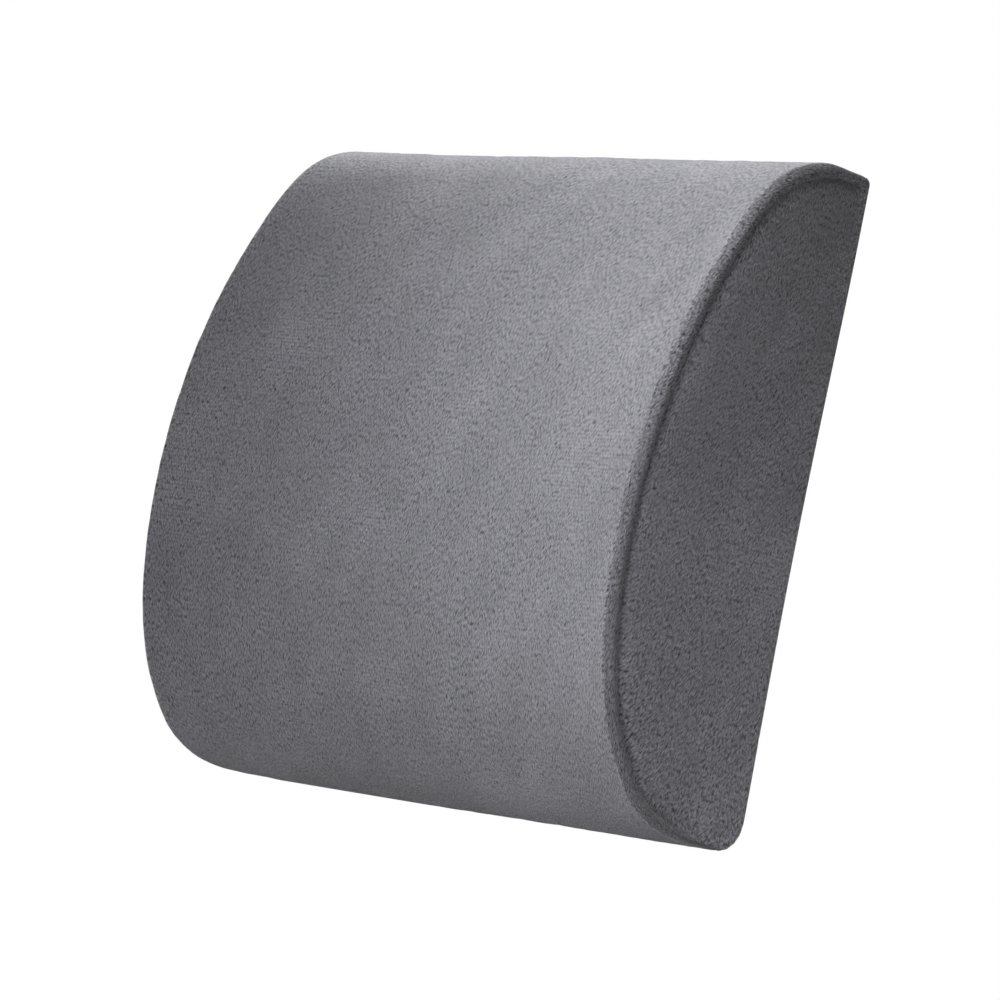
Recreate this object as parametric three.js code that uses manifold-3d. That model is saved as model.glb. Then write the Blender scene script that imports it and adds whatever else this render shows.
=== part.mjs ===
// Lumbar support cushion: a D-shaped memory-foam block in a zipped plush cover,
// with a buckled strap across its back. Millimetres, +Z up. The crowned front faces -Y.
// The origin is the middle of the flat back, on the cover's outer face.

import * as THREE from "three";
import { mergeVertices, toCreasedNormals } from "three/addons/utils/BufferGeometryUtils.js";
import Module from "manifold-3d";

const wasm = await Module();
wasm.setup();

// ---- Driving dimensions ----

const WIDTH = 330; // along X
const HEIGHT = 320; // along Z
const DEPTH = 115; // from the flat back to the crown of the front
const TOP_FLAT = 20; // straight run of the top face, measured from the back
const BOTTOM_FLAT = 32; // straight run of the underside, measured from the back
const CROWN_DROP = 0.182; // how far the crown sits below mid-height, in half heights
const SHOULDER = 0.03; // extra fullness where the crown meets the top and the underside
const CROWN_DIP = 14; // how far the crown sinks half-way between the ends
const DIP_POWER = 3; // how much of that dip happens near the ends
const TOP_RADIUS = 4; // round of the top back edge
const BOTTOM_RADIUS = 16; // round of the bottom back edge
const EDGE_ACROSS = 3.5; // round of the front end edges, measured on the end face
const EDGE_ALONG = 6.5; // round of the end edges, measured along X
const BACK_SHARE = 0.25; // how much of that round the flat back's end edges get
const UPPER_BROAD = 0.5; // how much broader that round is on the upper front

const COVER_THICK = 2.2;
const LINER_INSET = 2.6; // liner's outer face, below the cover's outer face
const LINER_THICK = 0.8;
const FOAM_INSET = 3.8;
const SEAM_INSET = 6; // end-panel seam, in from the front outline of the end face
const BACK_FOLD = 3.3; // how far the back panel folds over the top back edge
const GAP = 0.3; // clearance between neighbouring pieces

const ZIP_Z = -105;
const ZIP_LENGTH = 290;
const ZIP_OPENING = 20; // height of the slot that the zip fills
const TAPE_THICK = 0.6;
const TAPE_TOP = -1; // outer face of the tapes, below the cover's outer face
const COIL_WIDTH = 2.6;
const COIL_HEIGHT = 1.8;
const STOP_LENGTH = 3;

const STRAP_Z = 50;
const STRAP_WIDTH = 30;
const STRAP_THICK = 1.4;
const STRAP_LOW_Y = 1.3; // centre line of the layer that lies on the back
const STRAP_HIGH_Y = 6.1; // centre line of the layer that comes back over a bar
const TAIL_END_X = -121;
const ADJUSTER_X = -80;

const BUCKLE_WIDTH = 41;
const BUCKLE_BOTTOM = 1.4;
const BUCKLE_TOP = 10.6;
const BAR_BOTTOM = 2.5; // webbing bars, between the two layers of strap
const BAR_TOP = 4.9;
const SLOT_HALF = STRAP_WIDTH / 2 + 0.7; // half width of every webbing slot

// ---- Materials ----

const plush = new THREE.MeshStandardMaterial({ color: 0x77777e, roughness: 0.95, metalness: 0 });
const foam = new THREE.MeshStandardMaterial({ color: 0xe9e3cf, roughness: 0.9, metalness: 0 });
const jersey = new THREE.MeshStandardMaterial({ color: 0xe6e6e4, roughness: 0.95, metalness: 0 });
const tape = new THREE.MeshStandardMaterial({ color: 0x4b4b50, roughness: 0.9, metalness: 0 });
const nylon = new THREE.MeshStandardMaterial({ color: 0x55555a, roughness: 0.5, metalness: 0 });
const enamel = new THREE.MeshStandardMaterial({ color: 0x4a4a4f, roughness: 0.4, metalness: 0.6 });
const webbing = new THREE.MeshStandardMaterial({ color: 0x2b2b2e, roughness: 0.9, metalness: 0 });
const acetal = new THREE.MeshStandardMaterial({ color: 0x1c1c1e, roughness: 0.45, metalness: 0 });

// ---- Shared helpers ----

const X = new THREE.Vector3(1, 0, 0);
const Y = new THREE.Vector3(0, 1, 0);
const Z = new THREE.Vector3(0, 0, 1);
// Turn a solid pushed out along +Z so that it runs along +X (outline in y, z)
// or along -Y (outline in x, z).
const TO_X = new THREE.Matrix4().makeBasis(Y, Z, X);
const TO_MINUS_Y = new THREE.Matrix4().makeBasis(X, Z, Y.clone().negate());

const point = (a, b) => new THREE.Vector2(a, b);

// A closed geometry as a manifold-3d solid. Each triangle keeps its own face number,
// so flat faces keep the bands they were drawn with.
function solid(geometry) {
  const bare = geometry.clone();
  bare.deleteAttribute("normal");
  bare.deleteAttribute("uv");
  const merged = mergeVertices(bare, 1e-4);
  const triVerts = new Uint32Array(merged.index.array);
  const faceID = Uint32Array.from({ length: triVerts.length / 3 }, (_, i) => i);
  const vertProperties = new Float32Array(merged.attributes.position.array);
  return new wasm.Manifold(new wasm.Mesh({ numProp: 3, vertProperties, triVerts, faceID }));
}

function geometryOf(body) {
  const { vertProperties, triVerts } = body.getMesh();
  const geometry = new THREE.BufferGeometry();
  geometry.setAttribute("position", new THREE.BufferAttribute(vertProperties, 3));
  geometry.setIndex(new THREE.BufferAttribute(triVerts, 1));
  return toCreasedNormals(geometry, Math.PI / 6);
}

function box([x0, x1], [y0, y1], [z0, z1]) {
  const geometry = new THREE.BoxGeometry(x1 - x0, y1 - y0, z1 - z0);
  geometry.translate((x0 + x1) / 2, (y0 + y1) / 2, (z0 + z1) / 2);
  return geometry;
}

const boxSolid = (...ranges) => solid(box(...ranges));

// An outline in (y, z) pushed along X from x0 to x1.
function alongX(shape, x0, x1) {
  const geometry = new THREE.ExtrudeGeometry(shape, { depth: x1 - x0, bevelEnabled: false });
  geometry.translate(0, 0, x0);
  return geometry.applyMatrix4(TO_X);
}

// An outline in (x, z) as a plate from y0 up to y1, its edges softened by bevel.
function plate(shape, y0, y1, bevel = 0, curveSegments = 2) {
  const geometry = new THREE.ExtrudeGeometry(shape, {
    depth: y1 - y0 - 2 * bevel,
    bevelEnabled: bevel > 0,
    bevelSize: bevel,
    bevelThickness: bevel,
    bevelOffset: -bevel,
    bevelSegments: 1,
    curveSegments,
  });
  geometry.translate(0, 0, bevel - y1);
  return geometry.applyMatrix4(TO_MINUS_Y);
}

function roundedRect(x0, x1, z0, z1, r) {
  const shape = new THREE.Shape();
  shape.moveTo(x0 + r, z0);
  shape.lineTo(x1 - r, z0);
  shape.absarc(x1 - r, z0 + r, r, -Math.PI / 2, 0);
  shape.lineTo(x1, z1 - r);
  shape.absarc(x1 - r, z1 - r, r, 0, Math.PI / 2);
  shape.lineTo(x0 + r, z1);
  shape.absarc(x0 + r, z1 - r, r, Math.PI / 2, Math.PI);
  shape.lineTo(x0, z0 + r);
  shape.absarc(x0 + r, z0 + r, r, Math.PI, 1.5 * Math.PI);
  return shape;
}

function mesh(name, geometry, material, parent) {
  const made = new THREE.Mesh(geometry, material);
  made.name = name;
  parent.add(made);
  return made;
}

// ---- Foam block and cover ----

const HALF = WIDTH / 2;
const OUTSIDE = HALF + 5; // past the ends, for cutters
const zipHalf = ZIP_LENGTH / 2;
const CORNER_STEPS = 3;
const FRONT_STEPS = 32;
const EDGE_STEPS = 3;
const MIDDLE_STEPS = 7;

// Heights that bound the clear band of the back, between the zip and the strap.
const BACK_BANDS = [ZIP_Z + 18, STRAP_Z - 20];

// Quarter round between a face and the back, swept from angle a0 to a1.
function corner(y, z, radius, a0, a1) {
  return Array.from({ length: CORNER_STEPS + 1 }, (_, i) => {
    const a = a0 + ((a1 - a0) * i) / CORNER_STEPS;
    return point(y + radius * Math.cos(a), z + radius * Math.sin(a));
  });
}

// The cushion's section in (y, z), moved in from the cover's outer face by inset: flat
// back, straight top and underside, and a full half-ellipse front whose crown hangs below
// mid-height. Point number i is the same place on the section at every inset.
function evenSection(inset) {
  const half = HEIGHT / 2 - inset;
  const crown = DEPTH - inset;
  const top = Math.max(TOP_RADIUS - inset, 0.6);
  const bottom = Math.max(BOTTOM_RADIUS - inset, 0.6);
  const points = corner(-inset - top, half - top, top, 0, Math.PI / 2);
  for (let i = 0; i <= FRONT_STEPS; i += 1) {
    const angle = (Math.PI * i) / FRONT_STEPS;
    const flat = i < FRONT_STEPS / 2 ? TOP_FLAT : BOTTOM_FLAT;
    const sine = Math.sin(angle);
    const shoulder = Math.abs(Math.cos(angle)) > Math.SQRT1_2 ? Math.sin(4 * angle) ** 2 : 0;
    const y = -(flat + (crown - flat) * (sine + SHOULDER * shoulder));
    points.push(point(y, half * (Math.cos(angle) - CROWN_DROP * sine * sine)));
  }
  points.push(...corner(-inset - bottom, -half + bottom, bottom, -Math.PI / 2, 0));
  points.push(...BACK_BANDS.map((z) => point(-inset, z)));
  return points;
}

// How much of the end-edge round each point of the section gets: all of it on the top and
// front, and more on the upper front, easing off along the underside to BACK_SHARE round the
// back.
function edgeShare(i) {
  const front = i - CORNER_STEPS - 1;
  const ease = (t) => THREE.MathUtils.lerp(1, BACK_SHARE, THREE.MathUtils.clamp(t, 0, 1));
  if (front < 0) return ease(-(front + 1) / CORNER_STEPS);
  const along = Math.min(front / FRONT_STEPS, 1);
  const broad = 1 + UPPER_BROAD * Math.sin(Math.PI * along ** 0.6);
  return broad * ease((front - FRONT_STEPS + 2) / 3);
}

// The section moved in by inset all round, and by a further edge in shares. Nothing stands
// above the line of the top.
function section(inset, edge) {
  const moved = evenSection(inset + edge);
  const top = HEIGHT / 2 - inset - edge;
  return evenSection(inset).map((p, i) => {
    const { x, y } = p.lerp(moved[i], edgeShare(i));
    return point(x, Math.min(y, top));
  });
}

// Sinks the front half-way between the ends, in proportion to its distance from the back.
function dip(y, x) {
  const bow = 1 - Math.abs(x / HALF) ** DIP_POWER;
  return y * (1 - (CROWN_DIP / DEPTH) * bow);
}

// A closed solid through loops of (x, y, z) points that match one to one, capped at its ends.
function loft(loops, cap) {
  const count = cap.length;
  const geometry = new THREE.BufferGeometry();
  geometry.setAttribute("position", new THREE.Float32BufferAttribute(loops.flat(2), 3));
  const index = [];
  for (let row = 0; row < loops.length - 1; row += 1) {
    for (let i = 0; i < count; i += 1) {
      const [a, b] = [row * count + i, row * count + ((i + 1) % count)];
      index.push(a, b, b + count, a, b + count, a + count);
    }
  }
  const last = (loops.length - 1) * count;
  for (const [a, b, c] of THREE.ShapeUtils.triangulateShape(cap, [])) {
    index.push(c, b, a, last + a, last + b, last + c);
  }
  return geometry.setIndex(index);
}

// The whole cushion, moved in from the cover's outer face by inset, with rounded end edges.
function block(inset) {
  const across = Math.max(EDGE_ACROSS - inset, 0.4);
  const along = Math.max(EDGE_ALONG - inset, 0.4);
  const flat = HALF - inset - along;
  const edges = Array.from({ length: EDGE_STEPS }, (_, i) => {
    const angle = (Math.PI / 2) * (1 - i / EDGE_STEPS);
    return [flat + along * Math.sin(angle), across * (1 - Math.cos(angle))];
  });
  const middle = Array.from({ length: MIDDLE_STEPS + 1 }, (_, i) => [
    flat * ((2 * i) / MIDDLE_STEPS - 1),
    0,
  ]);
  const stations = [...edges.map(([x, edge]) => [-x, edge]), ...middle, ...edges.reverse()];
  const loops = stations.map(([x, edge]) => section(inset, edge).map((p) => [x, dip(p.x, x), p.y]));
  return solid(loft(loops, section(inset, across)));
}

const zipSlot = boxSolid(
  [-zipHalf, zipHalf],
  [-LINER_INSET, 5],
  [ZIP_Z - ZIP_OPENING / 2, ZIP_Z + ZIP_OPENING / 2],
);

// Clears the shell for both end panels.
function endCutters() {
  const hole = new THREE.Shape(section(0, SEAM_INSET));
  const inner = HALF - COVER_THICK - GAP;
  return solid(alongX(hole, inner, OUTSIDE)).add(solid(alongX(hole, -OUTSIDE, -inner)));
}

function endPanel(side) {
  const outline = new THREE.Shape(section(GAP, SEAM_INSET));
  const [low, high] = [HALF - COVER_THICK, HALF];
  return side > 0 ? alongX(outline, low, high) : alongX(outline, -high, -low);
}

// The cover's wrap-round front and its back come from one shell, parted along the top back
// edge and along the zip.
function coverPanels() {
  const shell = block(0).subtract(block(COVER_THICK)).subtract(endCutters()).subtract(zipSlot);
  const above = (y, z) => boxSolid([-OUTSIDE, OUTSIDE], [y, 5], [z, HEIGHT]);
  return {
    front: shell.subtract(above(-BACK_FOLD - GAP, ZIP_Z - GAP / 2)),
    back: shell.intersect(above(-BACK_FOLD, ZIP_Z + GAP / 2)),
  };
}

// A thin knitted sock with the slit that the foam goes in through, behind the zip.
function linerSolid() {
  const slit = boxSolid([-zipHalf, zipHalf], [-9, 0], [ZIP_Z - 2, ZIP_Z + 2]);
  return block(LINER_INSET).subtract(block(LINER_INSET + LINER_THICK)).subtract(slit);
}

function addCushion(parent) {
  const panels = coverPanels();
  mesh("foam_core", geometryOf(block(FOAM_INSET)), foam, parent);
  mesh("inner_liner", geometryOf(linerSolid()), jersey, parent);
  mesh("front_panel", geometryOf(panels.front), plush, parent);
  mesh("back_panel", geometryOf(panels.back), plush, parent);
  mesh("right_side_panel", endPanel(1), plush, parent);
  mesh("left_side_panel", endPanel(-1), plush, parent);
}

// ---- Zip: built along X about its own middle, its coils' foot at y = 0 ----

const COIL_FOOT = TAPE_TOP + GAP;
const railHalf = zipHalf - GAP - STOP_LENGTH - GAP;
const SLIDER_LENGTH = 10;
const SLIDER_X = -railHalf + SLIDER_LENGTH / 2 + 0.2;
const SLIDER_NOSE = 5; // half width at the middle
const SLIDER_TAIL = 4.2; // half width at both ends
const SLIDER_ROOF = COIL_HEIGHT + 0.4; // underside of the slider's top plate
const SLIDER_DECK = SLIDER_ROOF + 1.2; // its upper side
const BRIDGE_HALF = 0.8; // half width of the bridge that the pull tab hangs on
const PULL_THICK = 1.2;
const PULL_LENGTH = 25;

// One coil row, as its envelope: flat foot, rounded top.
function coilRow(side) {
  const shape = new THREE.Shape();
  const near = GAP * side;
  const far = (GAP + COIL_WIDTH) * side;
  shape.moveTo(0, near);
  shape.lineTo(COIL_HEIGHT * 0.6, near);
  shape.quadraticCurveTo(COIL_HEIGHT, near, COIL_HEIGHT, (near + far) / 2);
  shape.quadraticCurveTo(COIL_HEIGHT, far, COIL_HEIGHT * 0.6, far);
  shape.lineTo(0, far);
  return alongX(shape, -railHalf, railHalf);
}

function tapeStrip(side) {
  const [near, far] = [GAP, ZIP_OPENING / 2 - GAP];
  const z = side > 0 ? [near, far] : [-far, -near];
  const ends = [GAP - zipHalf, zipHalf - GAP];
  return box(ends, [-GAP - TAPE_THICK, -GAP], z);
}

// The slider's top plate and side flanges, with the bridge over the pull tab's bar.
function sliderSolid() {
  const half = SLIDER_LENGTH / 2;
  const outline = new THREE.Shape();
  outline.moveTo(-half, -SLIDER_TAIL);
  outline.lineTo(-half, SLIDER_TAIL);
  outline.quadraticCurveTo(-half + 1, SLIDER_NOSE, 0, SLIDER_NOSE);
  outline.lineTo(half, SLIDER_TAIL);
  outline.lineTo(half, -SLIDER_TAIL);
  outline.lineTo(0, -SLIDER_NOSE);
  outline.quadraticCurveTo(-half + 1, -SLIDER_NOSE, -half, -SLIDER_TAIL);
  const body = solid(plate(outline, 0.1, SLIDER_DECK, 0.3));
  const channelHalf = GAP + COIL_WIDTH + GAP;
  const channel = boxSolid([-half - 1, half + 1], [-1, SLIDER_ROOF], [-channelHalf, channelHalf]);
  return body.subtract(channel).add(bridgeSolid());
}

const BRIDGE_INNER = 2.2; // half length of the bridge's opening
const BRIDGE_WALL = 1.2;
const BRIDGE_HEIGHT = 3.5; // above the deck
const BRIDGE_ROUND = 2;
const PIVOT_Y = SLIDER_DECK + 1.2; // pull tab's hinge line

function bridgeSolid() {
  const outer = BRIDGE_INNER + BRIDGE_WALL;
  const foot = SLIDER_DECK - 0.5; // sunk into the deck so that the two join
  const crest = SLIDER_DECK + BRIDGE_HEIGHT;
  const arch = new THREE.Shape();
  arch.moveTo(-outer, foot);
  arch.lineTo(outer, foot);
  arch.lineTo(outer, crest - BRIDGE_ROUND);
  arch.quadraticCurveTo(outer, crest, outer - BRIDGE_ROUND, crest);
  arch.lineTo(-outer + BRIDGE_ROUND, crest);
  arch.quadraticCurveTo(-outer, crest, -outer, crest - BRIDGE_ROUND);
  const opening = boxSolid(
    [-BRIDGE_INNER, BRIDGE_INNER],
    [SLIDER_DECK, crest - BRIDGE_WALL],
    [-2, 2],
  );
  const geometry = new THREE.ExtrudeGeometry(arch, {
    depth: 2 * BRIDGE_HALF,
    bevelEnabled: false,
    curveSegments: 4,
  });
  geometry.translate(0, 0, -BRIDGE_HALF);
  return solid(geometry).subtract(opening);
}

const PULL_NECK = 2.6; // half width beside the hinge
const PULL_GRIP = 3.6; // half width of the grip
const FLARE = [6, 8, 11]; // where the neck starts to widen, its bend, and where it ends
const PULL_WINDOW_END = 4.6; // clears the bridge at every angle
const EYE = [4, 1.5]; // half length and half width of the slot in the grip

// Flat tab from its hinge bar at x = 0 towards +X, centred on its own mid-thickness.
function pullTab() {
  const barHalf = PULL_THICK / 2;
  const gripEnd = PULL_LENGTH - PULL_GRIP;
  const shape = new THREE.Shape();
  shape.moveTo(-barHalf, -PULL_NECK);
  shape.lineTo(FLARE[0], -PULL_NECK);
  shape.quadraticCurveTo(FLARE[1], -PULL_GRIP, FLARE[2], -PULL_GRIP);
  shape.lineTo(gripEnd, -PULL_GRIP);
  shape.absarc(gripEnd, 0, PULL_GRIP, -Math.PI / 2, Math.PI / 2);
  shape.lineTo(FLARE[2], PULL_GRIP);
  shape.quadraticCurveTo(FLARE[1], PULL_GRIP, FLARE[0], PULL_NECK);
  shape.lineTo(-barHalf, PULL_NECK);
  const windowHalf = BRIDGE_HALF + 0.5;
  const opening = roundedRect(barHalf, PULL_WINDOW_END, -windowHalf, windowHalf, 0.3);
  shape.holes.push(new THREE.Path(opening.getPoints(3)));
  const eye = new THREE.Path();
  eye.absellipse(gripEnd - PULL_GRIP, 0, ...EYE, 0, 2 * Math.PI, true);
  shape.holes.push(eye);
  return plate(shape, -PULL_THICK / 2, PULL_THICK / 2, 0, 4);
}

function addZip(parent) {
  const zip = new THREE.Group();
  zip.position.set(0, COIL_FOOT, ZIP_Z);
  parent.add(zip);
  mesh("zipper_tape_upper", tapeStrip(1), tape, zip);
  mesh("zipper_tape_lower", tapeStrip(-1), tape, zip);
  mesh("zipper_coil_upper", coilRow(1), nylon, zip);
  mesh("zipper_coil_lower", coilRow(-1), nylon, zip);
  const stopEnd = zipHalf - GAP;
  const stopTop = [0, COIL_HEIGHT + 0.2];
  const wide = GAP + COIL_WIDTH + 0.2;
  mesh("zipper_end_stop", box([stopEnd - STOP_LENGTH, stopEnd], stopTop, [-wide, wide]), enamel, zip);
  const start = [-stopEnd, STOP_LENGTH - stopEnd];
  mesh("zipper_top_stop_upper", box(start, stopTop, [GAP, wide]), enamel, zip);
  mesh("zipper_top_stop_lower", box(start, stopTop, [-wide, -GAP]), enamel, zip);

  const slider = new THREE.Group();
  slider.position.x = SLIDER_X;
  zip.add(slider);
  mesh("zipper_slider", geometryOf(sliderSolid()), enamel, slider);
  mesh("zipper_pull_tab", pullTab(), enamel, slider).position.y = PIVOT_Y;
}

// ---- Strap: flat webbing in the XY plane, as wide as STRAP_WIDTH along Z ----

// Surface height of the cover near its rounded vertical back edges.
function backSurface(x) {
  const past = Math.max(Math.abs(x) - (HALF - EDGE_ALONG), 0) / EDGE_ALONG;
  return BACK_SHARE * EDGE_ACROSS * (Math.sqrt(1 - past * past) - 1);
}

// Half turn of the webbing about (x, y), from the low layer up to the high one.
function turn(x, side) {
  const steps = 8;
  const radius = (STRAP_HIGH_Y - STRAP_LOW_Y) / 2;
  return Array.from({ length: steps + 1 }, (_, i) => {
    const a = -Math.PI / 2 + (Math.PI * i) / steps;
    return point(x + side * radius * Math.cos(a), STRAP_LOW_Y + radius * (1 + Math.sin(a)));
  });
}

// From the end seam to the flat of the back.
function seamRun(side) {
  const drops = [3.5, 5, 6.5, 8.5]; // distances in from the end face
  return drops.map((drop) => point(side * (HALF - drop), backSurface(HALF - drop) + STRAP_LOW_Y));
}

// A ribbon of even thickness about a centre line.
function ribbon(centre) {
  const edge = (sign) =>
    centre.map((p, i) => {
      const before = centre[Math.max(i - 1, 0)];
      const after = centre[Math.min(i + 1, centre.length - 1)];
      const along = after.clone().sub(before).normalize();
      return point(p.x - sign * along.y * STRAP_THICK / 2, p.y + sign * along.x * STRAP_THICK / 2);
    });
  const outline = new THREE.Shape([...edge(1), ...edge(-1).reverse()]);
  const geometry = new THREE.ExtrudeGeometry(outline, { depth: STRAP_WIDTH, bevelEnabled: false });
  return geometry.translate(0, 0, -STRAP_WIDTH / 2);
}

const PLUG_BAR_X = -22.4; // where the left webbing turns round the plug's bar
const SOCKET_BAR_X = 34;
const FOLD = [40, 50, 74]; // x where the right webbing slopes down, lies flat, and ends

// Sewn into the left back seam, round the plug's bar, and back as a free tail.
function leftStrap() {
  return ribbon([...seamRun(-1), ...turn(PLUG_BAR_X, 1), point(TAIL_END_X, STRAP_HIGH_Y)]);
}

// Sewn into the right back seam, round the socket's bar, and down onto itself.
function rightStrap() {
  const sewnY = STRAP_LOW_Y + STRAP_THICK + GAP;
  const fold = [point(FOLD[0], STRAP_HIGH_Y), point(FOLD[1], sewnY), point(FOLD[2], sewnY)];
  return ribbon([...seamRun(1), ...turn(SOCKET_BAR_X, -1), ...fold]);
}

const ADJUSTER_HALF = 11; // half length
const ADJUSTER_BAR = 3; // width of each bar, and of the side walls
const ADJUSTER_TOP = 9.4;
const ADJUSTER_BEVEL = 0.4;
const CLEAR = 20; // cutters reach this far past the hardware

// Three-bar slide: its middle bar runs between the two layers, its end bars over both.
function adjusterSolid() {
  const outer = SLOT_HALF + ADJUSTER_BAR;
  const across = [-SLOT_HALF, SLOT_HALF];
  const outline = roundedRect(-ADJUSTER_HALF, ADJUSTER_HALF, -outer, outer, 2);
  const frame = solid(plate(outline, BAR_BOTTOM, ADJUSTER_TOP, ADJUSTER_BEVEL));
  const strapRoom = [0, STRAP_HIGH_Y + STRAP_THICK / 2 + GAP];
  const slot = boxSolid([-CLEAR, CLEAR], strapRoom, across);
  const open = ADJUSTER_HALF - ADJUSTER_BAR;
  const eye = boxSolid([-open, open], [0, CLEAR], across);
  const bar = [-ADJUSTER_BAR / 2, ADJUSTER_BAR / 2];
  const middle = boxSolid(bar, [BAR_BOTTOM, BAR_TOP], [1 - outer, outer - 1]);
  return frame.subtract(slot).subtract(eye).add(middle);
}

function addStrap(parent) {
  const strap = new THREE.Group();
  strap.position.z = STRAP_Z;
  parent.add(strap);
  mesh("strap_left", leftStrap(), webbing, strap);
  mesh("strap_right", rightStrap(), webbing, strap);
  mesh("strap_adjuster", geometryOf(adjusterSolid()), acetal, strap).position.x = ADJUSTER_X;
  addBuckle(strap);
}

// ---- Side-release buckle: the mouth of the socket is at x = 0 ----

const SOCKET_LENGTH = 37;
const PLUG_LENGTH = 25.5;
const BUCKLE_BEVEL = 1.2;
const SOCKET_ROUND = 5;
const PLUG_ROUND = 4;
const PLUG_GAP = 0.4; // between the plug's shoulder and the socket's mouth
const BAR_LENGTH = 3.4; // of each webbing bar, along X
const SLOT_LENGTH = 4.6; // of each webbing slot, along X
const POCKET_HALF = 16.5; // half width of the socket's pocket
const POCKET = [3.1, 8.9];
const POCKET_LENGTH = 25;
const WINDOW = [10, 23.5]; // side windows that the latch arms spring into
const BAY = [6.3, 9]; // half length and half width of the cut-out in the socket's mouth
const TONGUE_HALF = 3;
const TONGUE_END = 22;
const TONGUE = [4.2, 7.8];
const GROOVES = [-12.5, -9.5, -6.5]; // grip grooves across the plug
const GROOVE_HALF = 13;
const GROOVE_DEPTH = 0.6;
const ARM = [3.6, 8.4];

// Webbing slot and thin bar at one end of a buckle half: side +1 puts the bar at high x.
function barEnd(body, barX, side) {
  const [near, far] = side > 0 ? [barX - BAR_LENGTH, barX] : [barX, barX + BAR_LENGTH];
  const slot = side > 0 ? [near - SLOT_LENGTH, near] : [far, far + SLOT_LENGTH];
  const across = [-SLOT_HALF, SLOT_HALF];
  const reach = side > 0 ? [slot[0], barX + 5] : [barX - 5, slot[1]];
  const bar = new THREE.ExtrudeGeometry(
    roundedRect(near + 0.2, far, BAR_BOTTOM, BAR_TOP, 1),
    { depth: 2 * SLOT_HALF + 2, bevelEnabled: false, curveSegments: 3 },
  );
  bar.translate(0, 0, -SLOT_HALF - 1);
  return body.subtract(boxSolid(reach, [0, CLEAR], across)).add(solid(bar));
}

function socketSolid() {
  const half = BUCKLE_WIDTH / 2;
  const outline = roundedRect(0, SOCKET_LENGTH, -half, half, SOCKET_ROUND);
  const body = solid(plate(outline, BUCKLE_BOTTOM, BUCKLE_TOP, BUCKLE_BEVEL));
  const pocket = boxSolid([-1, POCKET_LENGTH], POCKET, [-POCKET_HALF, POCKET_HALF]);
  const windows = boxSolid(WINDOW, POCKET, [-half - 1, half + 1]);
  const bay = new THREE.CylinderGeometry(1, 1, 2 * BUCKLE_TOP, 28);
  bay.scale(BAY[0], 1, BAY[1]);
  return barEnd(body.subtract(pocket).subtract(windows).subtract(solid(bay)), SOCKET_LENGTH, 1);
}

// Grip block, webbing bar and the middle tongue that guides the plug home.
function plugSolid() {
  const half = BUCKLE_WIDTH / 2;
  const outline = roundedRect(-PLUG_LENGTH, -PLUG_GAP, -half, half, PLUG_ROUND);
  const grip = solid(plate(outline, BUCKLE_BOTTOM, BUCKLE_TOP, BUCKLE_BEVEL));
  const body = barEnd(grip, -PLUG_LENGTH, -1);
  const guide = roundedRect(-TONGUE_HALF, TONGUE_END, -TONGUE_HALF, TONGUE_HALF, 1.5);
  const tongue = solid(plate(guide, ...TONGUE, 0.5));
  const depth = [BUCKLE_TOP - GROOVE_DEPTH, CLEAR];
  const grooves = GROOVES.map((x) => boxSolid([x, x + 1], depth, [-GROOVE_HALF, GROOVE_HALF]));
  return grooves.reduce((sum, groove) => sum.subtract(groove), body).add(tongue);
}

// Sprung arm with its catch head in the socket's window; side +1 is the upper arm.
function latchArm(side) {
  const [rootX, headX, tipX] = [0.2, WINDOW[0] + 1, WINDOW[1] - 1];
  const [inner, outer, button] = [9.4, 12.6, 19.6]; // distances from the middle
  const shape = new THREE.Shape();
  shape.moveTo(rootX, inner + 0.6);
  shape.lineTo(rootX, outer - 0.6);
  shape.lineTo(rootX + 0.6, outer);
  shape.lineTo(headX - 2, outer + 1.2);
  shape.lineTo(headX, button - 1.2);
  shape.lineTo(headX + 1.2, button);
  shape.lineTo(headX + 3, button);
  shape.quadraticCurveTo(headX + 8, button - 0.5, tipX, outer + 0.5);
  shape.lineTo(tipX - 0.5, inner + 1.5);
  shape.lineTo(tipX - 2, inner);
  shape.lineTo(rootX + 0.6, inner);
  const geometry = plate(shape, ...ARM, 0.3, 4);
  return side > 0 ? geometry : geometry.rotateX(Math.PI).translate(0, ARM[0] + ARM[1], 0);
}

function addBuckle(parent) {
  mesh("buckle_socket", geometryOf(socketSolid()), acetal, parent);
  mesh("buckle_plug", geometryOf(plugSolid()), acetal, parent);
  mesh("latch_arm_upper", latchArm(1), acetal, parent);
  mesh("latch_arm_lower", latchArm(-1), acetal, parent);
}

// ---- Assembly ----

const lumbarCushion = new THREE.Group();
addCushion(lumbarCushion);
addZip(lumbarCushion);
addStrap(lumbarCushion);

export default lumbarCushion;
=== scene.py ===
"""Looks of a lumbar support cushion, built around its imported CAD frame. Metres, +Z up, front towards -Y."""

import math

import bmesh
import bpy
import numpy as np
from mathutils import Matrix, Vector
from mathutils.kdtree import KDTree


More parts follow.
